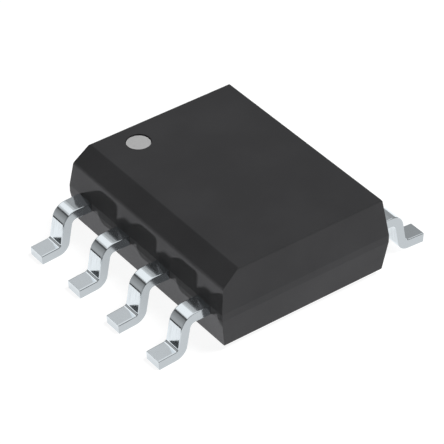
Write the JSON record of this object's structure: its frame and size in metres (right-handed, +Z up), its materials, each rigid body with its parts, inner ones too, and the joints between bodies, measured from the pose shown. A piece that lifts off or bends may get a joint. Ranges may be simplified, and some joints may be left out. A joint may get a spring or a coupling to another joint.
{
  "type": "soic chip",
  "caption": "Surface-mount chip in a small-outline moulded package, with gull-wing leads on two sides, one long chamfer and a light dot at the first lead.",
  "frame": {"origin": "centre of the package on the seating plane, level with the tips of the feet", "axes": "+X across the two rows of leads, away from the row with lead 1; +Y along the moulding towards the end with the mark; +Z up from the board to the marked face"},
  "size_m": [0.0062, 0.005, 0.0018],
  "materials": {
    "mould_compound": "fine satin grain, moulded",
    "mark_ink": "flat light grey ink",
    "tinned_lead": "satin tin plating",
    "bare_copper": "rolled copper alloy",
    "silver_epoxy": "cured silver-filled adhesive",
    "silicon": "sawn and polished wafer",
    "gold_wire": "drawn gold"
  },
  "bodies": {
    "root": {"mould_body": "mould_compound", "pin_one_mark": "mark_ink", "lead_1": "tinned_lead", "lead_2": "tinned_lead", "lead_3": "tinned_lead", "lead_4": "tinned_lead", "lead_5": "tinned_lead", "lead_6": "tinned_lead", "lead_7": "tinned_lead", "lead_8": "tinned_lead", "die_paddle": "bare_copper", "die_attach": "silver_epoxy", "silicon_die": "silicon", "bond_wire_1": "gold_wire", "bond_wire_2": "gold_wire", "bond_wire_3": "gold_wire", "bond_wire_4": "gold_wire", "bond_wire_5": "gold_wire", "bond_wire_6": "gold_wire", "bond_wire_7": "gold_wire", "bond_wire_8": "gold_wire"}
  },
  "joints": []
}
